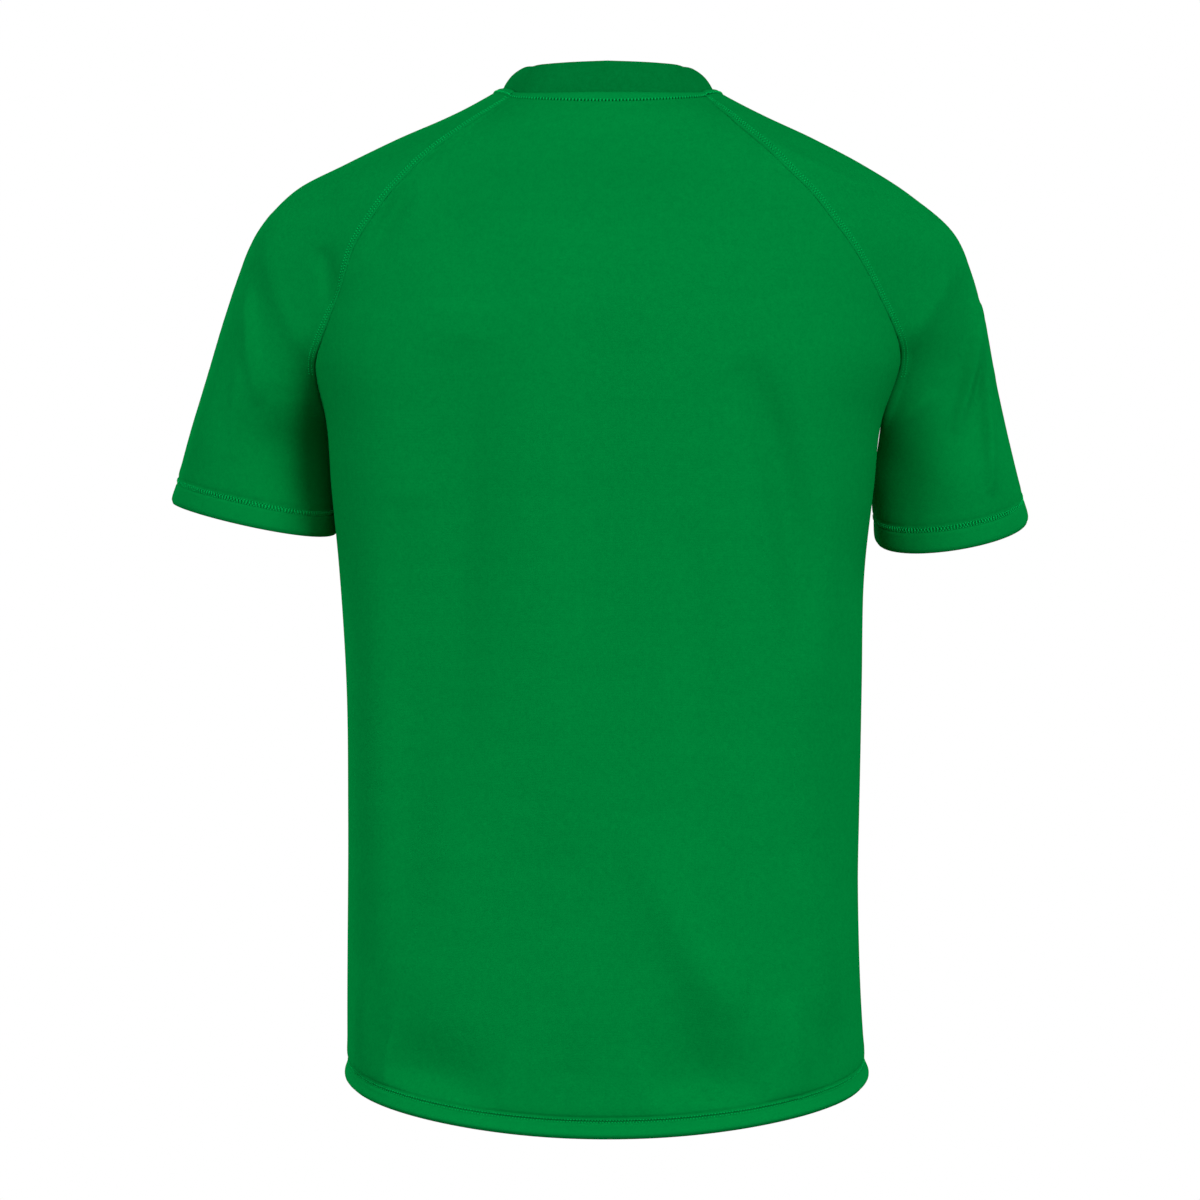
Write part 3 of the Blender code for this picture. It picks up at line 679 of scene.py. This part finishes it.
def laid(name, points, look, wall=0.0, doubled_and_lit=None):
    """A named grid of cloth through these rows of points, with its own flat map."""
    rows, columns = points.shape[0] - 1, points.shape[1] - 1
    shape = bmesh.new()
    chart = shape.loops.layers.uv.new("flat")
    bmesh.ops.create_grid(shape, x_segments=columns, y_segments=rows, size=1.0)
    places = flat_map(points).reshape(-1, 2)
    for vertex, place in zip(shape.verts, points.reshape(-1, 3)):
        vertex.co = place
    shape.verts.index_update()
    for face in shape.faces:
        for corner in face.loops:
            corner[chart].uv = places[corner.vert.index]
    if doubled_and_lit is not None:
        layers = shape.verts.layers.float.new("doubled_and_lit")
        for vertex, value in zip(shape.verts, doubled_and_lit.ravel()):
            vertex[layers] = value
    bmesh.ops.remove_doubles(shape, verts=shape.verts, dist=1e-6)
    mesh = bpy.data.meshes.new(name)
    shape.to_mesh(mesh)
    shape.free()
    mesh.shade_smooth()
    mesh.materials.append(look)
    piece = placed(name, mesh)
    if wall:
        thickness = piece.modifiers.new("wall", "SOLIDIFY")
        thickness.thickness = wall
        thickness.offset = -1
    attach(piece, "root")
    return piece


# Cloth.

def strip_depth(name, share):
    """How deep the strip below the collar is, by the share of the way across the piece."""
    strip = NECK_STRIPS[name]
    return strip.side + (strip.middle - strip.side) * np.sin(np.pi * share) ** 0.8


def neck_strip(name, down, across):
    """How far out the strip below the collar stands at these distances from the neck edge."""
    depth = strip_depth(name, across / across[:, -1:])
    return STRIP_RISE * step_down(down, depth, 0.45 * MM) * (1 + 0.6 * np.sin(np.pi * down / depth))


def finished_panel(face, name):
    """A panel's points, with its folds and all its edges put in, and how doubled its cloth is, which
    also sets painted light on its turned bands.
    """
    points = panel_points(face)
    if face == FRONT:
        points = points[:, ::-1]
    points = folded(points, name)
    outward = outward_of(points)
    up, across = travel(points), travel_across(points)
    down, side = up[-1:] - up, from_sides(across)
    strip = neck_strip(name, down, across)
    raglan = np.clip((points[..., 2] - UNDERS[LEFT][0].z) / 0.02, 0, 1)
    depth = marked(up, HEM_MARKS) + marked(down, NECK_MARKS) - strip
    depth += marked(side, PLAIN_SEAM_MARKS) * (1 - raglan)
    depth += marked(side, RAGLAN_PANEL_MARKS) * raglan
    depth += puckered(HEM_PUCKER, up, across, 1.0 + face)
    depth += puckered(SIDE_PUCKER, side, up, 2.0 + face)
    hem = HEM_TONE * step_down(up, 11.5 * MM, 0.8 * MM)
    doubled_and_lit = np.maximum(hem, STRIP_TONE * strip / STRIP_RISE)
    return points - outward * depth[..., None], np.clip(doubled_and_lit, 0, 1)


def finished_sleeve(side, name):
    """A sleeve's points, with its folds and all its edges put in, and how doubled its cloth is, which
    also sets painted light on its turned bands.
    """
    points = sleeve_points(side)
    if side == LEFT:
        points = points[:, ::-1]
    points = folded(points, name)
    outward = outward_of(points)
    up, across = travel(points), travel_across(points)
    down, edge = up[-1:] - up, from_sides(across)
    strip = neck_strip(name, down, across)
    raglan = np.clip((up - up[UNDERARM_ROW] - SEAM_FADE) / 0.012, 0, 1)
    band = step_down(edge, RAGLAN_BAND, 0.5 * MM) * raglan
    depth = marked(up, CUFF_MARKS) + marked(down, NECK_MARKS) - strip - RAGLAN_RISE * band
    depth += marked(edge, PLAIN_SEAM_MARKS) * (1 - raglan)
    depth += marked(edge, RAGLAN_SLEEVE_MARKS) * raglan
    depth += puckered(CUFF_PUCKER, up, across, 3.0 + side)
    depth += puckered(RAGLAN_PUCKER, edge, up, 4.0 + side) * raglan
    cuff = HEM_TONE * step_down(up, 16.0 * MM, 0.8 * MM)
    band = RAGLAN_TONE * step_down(edge, RAGLAN_BAND, 0.8 * MM) * raglan
    doubled_and_lit = np.maximum(np.maximum(cuff, band), STRIP_TONE * strip / STRIP_RISE)
    return points - outward * depth[..., None], np.clip(doubled_and_lit, 0, 1)


def neckline(samples):
    """The neck edge all round, from the middle of the back over the left shoulder."""
    back, front = panel_row(BACK, 2.0), panel_row(FRONT, 2.0)
    left, right = sleeve_row(LEFT, 0.0), sleeve_row(RIGHT, 0.0)
    half = len(back) // 2
    line = np.concatenate(
        [back[half::-1], left[1:-1], front, right[::-1][1:-1], back[: half - 1 : -1]]
    )
    return at_distances(line, np.linspace(0, travel(line)[-1], samples))


def evened(ring, reach):
    """A closed ring of points with its corners evened out over this many neighbours each way."""
    weights = np.hanning(2 * reach + 3)[1:-1]
    shifts = range(-reach, reach + 1)
    return sum(w * np.roll(ring, k, axis=0) for w, k in zip(weights, shifts)) / weights.sum()


def collar_points(columns=420, rows=26):
    """The collar as a closed ring: up its outside, over its folded top and down its inside."""
    edge = evened(neckline(columns + 1)[:-1], 12)
    along = unit(np.roll(edge, -1, axis=0) - np.roll(edge, 1, axis=0))
    edge, along = np.concatenate([edge, edge[:1]]), np.concatenate([along, along[:1]])
    up = np.array([0.0, 0.0, 1.0])
    rising = unit(up - along * along[:, 2:3])
    outward = np.cross(rising, along)
    share = 1 - np.abs(1 - 2 * np.linspace(0, 1, columns + 1))
    stand = Stand(*between(COLLAR, share).T)
    half = COLLAR_THICKNESS / 2
    foot = edge - outward * (half + COLLAR_INSET) - rising * COLLAR_TUCK
    heights = np.linspace(0, 1, rows + 1)
    tall = stand.height + COLLAR_TUCK
    leans = []
    for height in (heights[1:] + heights[:-1]) / 2:
        rise = np.clip((height * tall - COLLAR_TUCK) / stand.height, 0, 1)
        first, second = np.clip(2 * rise, 0, 1), np.clip(2 * rise - 1, 0, 1)
        lean = stand.low + (stand.middle - stand.low) * first + (stand.top - stand.middle) * second
        leans.append(np.radians(lean)[:, None])
    middle, normals = [foot], []
    for lean in leans:
        way = rising * np.cos(lean) - outward * np.sin(lean)
        middle.append(middle[-1] + way * (tall / rows)[:, None])
        normals.append(outward * np.cos(lean) + rising * np.sin(lean))
    normals.append(normals[-1])
    first, last = unit(middle[1] - middle[0]), unit(middle[-1] - middle[-2])
    turns = np.linspace(0, np.pi, 9)[1:-1]
    outside = [point + half * normal for point, normal in zip(middle, normals)]
    inside = [point - half * normal for point, normal in zip(middle, normals)]
    top = [middle[-1] + half * (np.cos(t) * normals[-1] + np.sin(t) * last) for t in turns]
    base = [middle[0] - half * (np.cos(t) * normals[0] + np.sin(t) * first) for t in turns]
    return np.array(outside + top + inside[::-1] + base + outside[:1])


# Stitches.

# A stitch's length, and the shares of it that its thread and the painted shade of its needle hole
# take.
STITCH = 2.1 * MM
THREAD_SHARE, SHADE_BEAD_SHARE = 0.72, 0.42
THREAD_WIDTH, SHADE_BEAD_WIDTH = 0.72 * MM, 0.78 * MM

# The threads that cross the cuff's seam and the collar's: how far apart they lie, a little coarser
# than real ones, and how thick they are.
CUFF_PITCH, CUFF_BAR = 2.4 * MM, 1.0 * MM
NECK_PITCH, NECK_BAR = 1.15 * STITCH, 0.90 * MM

# How far a thread stands out of the cloth, and painted hole or gap shade sinks in, in half
# thicknesses.
PROUD, SHADE_BEAD_SUNK, GAP_SHADE_SUNK = 0.4, 0.9, 0.7


def line_in(points, outward, distance):
    """The line this far in from the first of these rows, and the way out along it."""
    gone = travel(points)
    wanted = np.broadcast_to(distance, points.shape[1:2])
    both = np.concatenate([points, outward], axis=-1)
    line = [
        [np.interp(far, known, values) for values in column.T]
        for far, known, column in zip(wanted, gone.T, both.swapaxes(0, 1))
    ]
    line = np.array(line)
    return line[:, :3], unit(line[:, 3:])


def dashes(line, out, pitch, reach, thick):
    """Short threads that lie end to end along a line: each one's middle and three half axes."""
    places = (np.arange(int(travel(line)[-1] / pitch)) + 0.5) * pitch
    middle, normal = at_distances(line, places), unit(at_same(line, out, places))
    ahead = unit(at_distances(line, places + 0.3 * MM) - at_distances(line, places - 0.3 * MM))
    across = unit(np.cross(normal, ahead))
    half = thick / 2
    middle = middle + normal * half * PROUD
    return np.stack([middle, ahead * reach / 2, across * half, normal * half], axis=1)


def bars(first, second, out, pitch, thick):
    """Short threads that cross between two lines: each one's middle and three half axes."""
    count = int(travel(first)[-1] / pitch)
    share = (np.arange(count) + 0.5) / count
    start = at_distances(first, share * travel(first)[-1])
    end = at_distances(second, share * travel(second)[-1])
    normal = unit(at_same(first, out, share * travel(first)[-1]))
    way, half = (end - start) / 2, thick / 2
    side = unit(np.cross(normal, way)) * half
    middle = (start + end) / 2 + normal * half * PROUD
    return np.stack([middle, way, side, normal * half], axis=1)


def cover_stitch(points, outward, distances):
    """Two rows of thread this far in from the first of these rows, and dark beads of painted shade at
    their needle holes.
    """
    low, out = line_in(points, outward, distances[0])
    high, _ = line_in(points, outward, distances[1])
    threads, shade_beads = [], []
    for line in (low, high):
        threads.append(dashes(line, out, STITCH, THREAD_SHARE * STITCH, THREAD_WIDTH))
        shade_beads.append(dashes(line, out, STITCH, SHADE_BEAD_SHARE * STITCH, SHADE_BEAD_WIDTH))
        shade_beads[-1][:, 0] += shade_beads[-1][:, 1] / SHADE_BEAD_SHARE - shade_beads[-1][:, 3] * SHADE_BEAD_SUNK
    return threads, shade_beads


def shade_beads_between(threads, pitch):
    """Dark beads of painted shade in the gaps between threads that cross a seam at this pitch."""
    gap_shade_beads = threads.copy()
    gap_shade_beads[:, 0] += unit(gap_shade_beads[:, 2]) * pitch / 2 - gap_shade_beads[:, 3] * GAP_SHADE_SUNK
    return gap_shade_beads


def thread_piece(name, threads, shade_beads):
    """One joined mesh of short threads and of small dark beads, the painted shade of the holes they
    go down into.
    """
    bead = bmesh.new()
    bmesh.ops.create_icosphere(bead, subdivisions=1, radius=1.0)
    corners = np.array([vertex.co[:] for vertex in bead.verts])
    faces = np.array([[vertex.index for vertex in face.verts] for face in bead.faces])
    bead.free()
    frames = np.concatenate(threads + shade_beads)
    places = frames[:, None, 0] + np.einsum("ca,fab->fcb", corners, frames[:, 1:])
    numbers = faces[None] + len(corners) * np.arange(len(frames))[:, None, None]
    mesh = bpy.data.meshes.new(name)
    mesh.from_pydata(places.reshape(-1, 3), [], numbers.reshape(-1, 3))
    mesh.shade_smooth()
    mesh.materials.append(thread)
    mesh.materials.append(hole_shade)
    is_shade_bead = np.arange(len(frames)) >= sum(map(len, threads))
    mesh.polygons.foreach_set("material_index", np.repeat(is_shade_bead, len(faces)).astype(np.int32))
    piece = placed(name, mesh)
    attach(piece, "root")
    return piece


# Looks.

def linear(hex_colour):
    """A colour written as an sRGB hex value, as the linear colour a shader takes."""
    parts = [int(hex_colour[i : i + 2], 16) / 255 for i in (1, 3, 5)]
    return tuple(p / 12.92 if p <= 0.04045 else ((p + 0.055) / 1.055) ** 2.4 for p in parts) + (1.0,)


def add(tree, kind, settings=None, **links):
    """A node of this kind, with its settings and its linked or plain inputs, named by socket."""
    node = tree.nodes.new(kind)
    for name, value in (settings or {}).items():
        setattr(node, name, value)
    for name, value in links.items():
        key = int(name[1:]) if name[1:].isdigit() else name.replace("_", " ")
        if isinstance(value, bpy.types.NodeSocket):
            tree.links.new(value, node.inputs[key])
        else:
            node.inputs[key].default_value = value
    return node


# How many patches of tone there are to a metre, for single loops, small clouds and long level
# bands, and how deep a knitted loop is.
GRAIN, MOTTLE, BANDS = 700.0, 230.0, 85.0
LOOP_DEPTH = 0.25 * MM


def cloth_look(name, sheen, light, dark, double_and_lit, wale, course, roughness, relief):
    """Knitted cloth: rows of small V loops, with a faint mottle and faint courses."""
    made = bpy.data.materials.new(name)
    made.use_nodes = True
    tree = made.node_tree
    shader = tree.nodes["Principled BSDF"]

    divide, multiply = {"operation": "DIVIDE"}, {"operation": "MULTIPLY"}
    weigh, colours = {"operation": "MULTIPLY_ADD"}, {"data_type": "RGBA"}
    flat = add(tree, "ShaderNodeUVMap", {"uv_map": "flat"}).outputs[0]
    place = add(tree, "ShaderNodeSeparateXYZ", Vector=flat).outputs
    wales = add(tree, "ShaderNodeMath", divide, _0=place[0], _1=wale).outputs[0]
    leg = add(tree, "ShaderNodeMath", {"operation": "PINGPONG"}, _0=wales, _1=0.5).outputs[0]
    courses = add(tree, "ShaderNodeMath", divide, _0=place[1], _1=course).outputs[0]
    slant = add(tree, "ShaderNodeMath", {"operation": "ADD"}, _0=courses, _1=leg).outputs[0]
    turn = add(tree, "ShaderNodeMath", multiply, _0=slant, _1=6.2832).outputs[0]
    loops = add(tree, "ShaderNodeMath", {"operation": "SINE"}, _0=turn).outputs[0]
    lowest = {"operation": "SMOOTH_MIN"}
    valley = add(tree, "ShaderNodeMath", lowest, _0=leg, _1=0.12, _2=0.1).outputs[0]
    height = add(tree, "ShaderNodeMath", weigh, _0=valley, _1=6.0, _2=loops).outputs[0]
    bump = add(tree, "ShaderNodeBump", Strength=relief, Distance=LOOP_DEPTH, Height=height)

    where = add(tree, "ShaderNodeTexCoord").outputs["Object"]
    wide = add(tree, "ShaderNodeMapping", Vector=where, Scale=(0.14, 0.14, 1.0)).outputs[0]
    patches = []
    for spot, scale, rough in ((where, GRAIN, 0.6), (where, MOTTLE, 0.5), (wide, BANDS, 0.5)):
        patch = add(tree, "ShaderNodeTexNoise", Vector=spot, Scale=scale, Detail=2.0, Roughness=rough)
        patches.append(patch.outputs[0])
    grain, mottle, bands = patches
    both = add(tree, "ShaderNodeMath", weigh, _0=grain, _1=1.6, _2=mottle).outputs[0]
    three = add(tree, "ShaderNodeMath", weigh, _0=bands, _1=0.4, _2=both).outputs[0]
    level = add(tree, "ShaderNodeMapRange", Value=three, From_Min=1.0, From_Max=2.0).outputs[0]
    single = add(tree, "ShaderNodeMix", colours, Factor=level, _6=dark, _7=light).outputs[2]
    # Doubled cloth is lighter: partly its own tone and partly painted light on the turned bands.
    layers = add(tree, "ShaderNodeAttribute", {"attribute_name": "doubled_and_lit"}).outputs["Fac"]
    tone = add(tree, "ShaderNodeMix", colours, Factor=layers, _6=single, _7=double_and_lit).outputs[2]
    tree.links.new(tone, shader.inputs["Base Color"])
    tree.links.new(bump.outputs[0], shader.inputs["Normal"])
    shader.inputs["Roughness"].default_value = roughness
    shader.inputs["Specular IOR Level"].default_value = 0.0
    shader.inputs["Sheen Weight"].default_value = 0.08
    shader.inputs["Sheen Roughness"].default_value = 0.35
    shader.inputs["Sheen Tint"].default_value = sheen
    return made


def thread_look(name, colour):
    """Thread, or the painted shade inside a hole: plain and matt."""
    made = bpy.data.materials.new(name)
    made.use_nodes = True
    shader = made.node_tree.nodes["Principled BSDF"]
    shader.inputs["Base Color"].default_value = colour
    shader.inputs["Roughness"].default_value = 0.8
    shader.inputs["Specular IOR Level"].default_value = 0.0
    return made


# Polyester jersey: a matt green of fine upright columns of V loops, a little uneven in tone, with
# a weak sheen at its turned edges. The loops are drawn about twice as coarse as real ones.
jersey = cloth_look(
    "knitted_polyester_jersey",
    sheen=linear("#00A045"),
    light=linear("#017E37"),
    dark=linear("#007432"),
    double_and_lit=linear("#01813A"),
    wale=1.3 * MM,
    course=1.1 * MM,
    roughness=0.85,
    relief=0.15,
)

# Fine rib: the same yarn knitted closer, given a darker and smoother green than the jersey. Its
# loops too are drawn about twice as coarse as real ones.
rib = cloth_look(
    "fine_rib_knit",
    sheen=linear("#00863A"),
    light=linear("#017032"),
    dark=linear("#00662B"),
    double_and_lit=linear("#017032"),
    wale=1.2 * MM,
    course=0.9 * MM,
    roughness=0.85,
    relief=0.15,
)

# Polyester thread, a lighter green than the cloth, and the shade inside the holes it makes.
thread = thread_look("polyester_sewing_thread", linear("#00AD52"))
hole_shade = thread_look("painted_needle_hole_shade", linear("#003814"))

panels, pieces, stitched = {}, {}, {}
for name, face in (("back_panel", BACK), ("front_panel", FRONT)):
    panels[name], doubled_and_lit = finished_panel(face, name)
    pieces[name] = laid(name + "_cloth", panels[name], jersey, JERSEY_THICKNESS, doubled_and_lit)
for name, side in (("left_sleeve", LEFT), ("right_sleeve", RIGHT)):
    panels[name], doubled_and_lit = finished_sleeve(side, name)
    pieces[name] = laid(name + "_cloth", panels[name], jersey, JERSEY_THICKNESS, doubled_and_lit)
pieces["collar"] = laid("collar_band", collar_points(), rib)

for name, points in panels.items():
    outward = outward_of(points)
    across = travel_across(points)
    depth = strip_depth(name, across[-1] / across[-1, -1])
    upper, out = line_in(points[::-1], outward[::-1], depth - 1.4 * MM)
    lower, _ = line_in(points[::-1], outward[::-1], depth + 1.0 * MM)
    # The small dark beads that go with each seam's threads are painted shade, in their needle holes
    # and in the gaps between crossing threads.
    threads = [bars(upper, lower, out, NECK_PITCH, NECK_BAR)]
    shade_beads = [shade_beads_between(threads[0], NECK_PITCH)]
    if name.endswith("panel"):
        seams = [cover_stitch(points, outward, HEM_STITCHES)]
    else:
        up = travel(points)[:, 0]
        first = int(np.searchsorted(up, up[UNDERARM_ROW] + SEAM_FADE))
        sewn = slice(first, -NECK_ROWS // 2)
        above, above_out = points[sewn].swapaxes(0, 1), outward[sewn].swapaxes(0, 1)
        low, out = line_in(points, outward, CUFF_STITCHES[0])
        high, _ = line_in(points, outward, CUFF_STITCHES[1])
        ladder = bars(low, high, out, CUFF_PITCH, CUFF_BAR)
        seams = [
            cover_stitch(points, outward, CUFF_STITCHES),
            ([ladder], [shade_beads_between(ladder, CUFF_PITCH)]),
            cover_stitch(above, above_out, RAGLAN_STITCHES),
            cover_stitch(above[::-1], above_out[::-1], RAGLAN_STITCHES),
        ]
    for more_threads, more_shade_beads in seams:
        threads += more_threads
        shade_beads += more_shade_beads
    stitched[name] = thread_piece(name + "_stitches", threads, shade_beads)

for name, piece in pieces.items():
    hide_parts(name)

# The cut of a piece, as it lies flat: its widest, its longest and its area. No piece's cut is worked
# out here.
Cut = namedtuple("Cut", "piece width length area")


# Studio.

def lamp(name, place, size, power):
    """A round soft lamp aimed at the middle of the shirt."""
    light = bpy.data.lights.new(name, "AREA")
    light.shape = "DISK"
    light.size = size
    light.energy = power
    holder = placed(name, light)
    holder.location = place
    aim = Vector((0, 0, -0.36)) - Vector(place)
    holder.rotation_euler = aim.to_track_quat("-Z", "Y").to_euler()


# A bright lamp on one side, a weaker one on the other and one above light the back from far off.
# The same three light the front, and a weak lamp lights each side.
lamp("key", (-4.6, 7.0, 2.4), 3.6, 525)
lamp("fill", (6.0, 6.2, 1.9), 3.6, 265)
lamp("high", (0.0, 6.8, 5.0), 3.6, 150)
lamp("front_key", (4.6, -7.0, 2.4), 3.6, 525)
lamp("front_fill", (-6.0, -6.2, 1.9), 3.6, 265)
lamp("front_high", (0.0, -6.8, 5.0), 3.6, 150)
lamp("left_side", (3.2, 0.3, 0.6), 1.4, 34)
lamp("right_side", (-3.2, 0.3, 0.9), 1.4, 24)


def seen_directly(tree):
    """1 where the camera sees a thing, or sees it mirrored or through glass, and 0 elsewhere."""
    rays = add(tree, "ShaderNodeLightPath").outputs
    ways = {"operation": "ADD", "use_clamp": True}
    seen = add(tree, "ShaderNodeMath", ways, _0=rays["Is Camera Ray"], _1=rays["Is Glossy Ray"])
    seen = add(tree, "ShaderNodeMath", ways, _0=seen.outputs[0], _1=rays["Is Transmission Ray"])
    return seen.outputs[0]


# The backdrop is white where it is seen, and adds only a little light.
world = bpy.data.worlds.new("studio")
bpy.context.scene.world = world
world.use_nodes = True
tree = world.node_tree
tree.nodes.clear()
seen = seen_directly(tree)
ambient = add(tree, "ShaderNodeBackground", None, Color=(1, 1, 1, 1), Strength=0.08)
backdrop = add(tree, "ShaderNodeBackground", None, Color=(1, 1, 1, 1), Strength=1.0)
mix = add(tree, "ShaderNodeMixShader", None, _0=seen, _1=ambient.outputs[0], _2=backdrop.outputs[0])
add(tree, "ShaderNodeOutputWorld", None, Surface=mix.outputs[0])

# A pale matt floor, well below the hem. It looks nearly white, and throws back less light than that.
FLOOR_Z = -1.45
shape = bmesh.new()
bmesh.ops.create_grid(shape, x_segments=1, y_segments=1, size=2.0)
bmesh.ops.translate(shape, verts=shape.verts, vec=(0, 0, FLOOR_Z))
mesh = bpy.data.meshes.new("floor")
shape.to_mesh(mesh)
shape.free()
floor = placed("floor", mesh)
pale = bpy.data.materials.new("pale_studio_floor")
pale.use_nodes = True
tree = pale.node_tree
seen = seen_directly(tree)
tones = {"_6": linear("#828282"), "_7": linear("#F4F4F4")}
paint = add(tree, "ShaderNodeMix", {"data_type": "RGBA"}, Factor=seen, **tones)
surface = tree.nodes["Principled BSDF"].inputs
tree.links.new(paint.outputs[2], surface["Base Color"])
surface["Roughness"].default_value = 0.8
mesh.materials.append(pale)

# The camera looks straight at the back from three metres behind it.
lens = bpy.data.cameras.new("camera")
lens.lens = 125
lens.sensor_width = 36
camera = placed("camera", lens)
camera.location = (0.00504, 3.0, -0.3622)
camera.rotation_euler = (np.pi / 2, 0, np.pi)
bpy.context.scene.camera = camera
bpy.context.scene.view_settings.view_transform = "Standard"
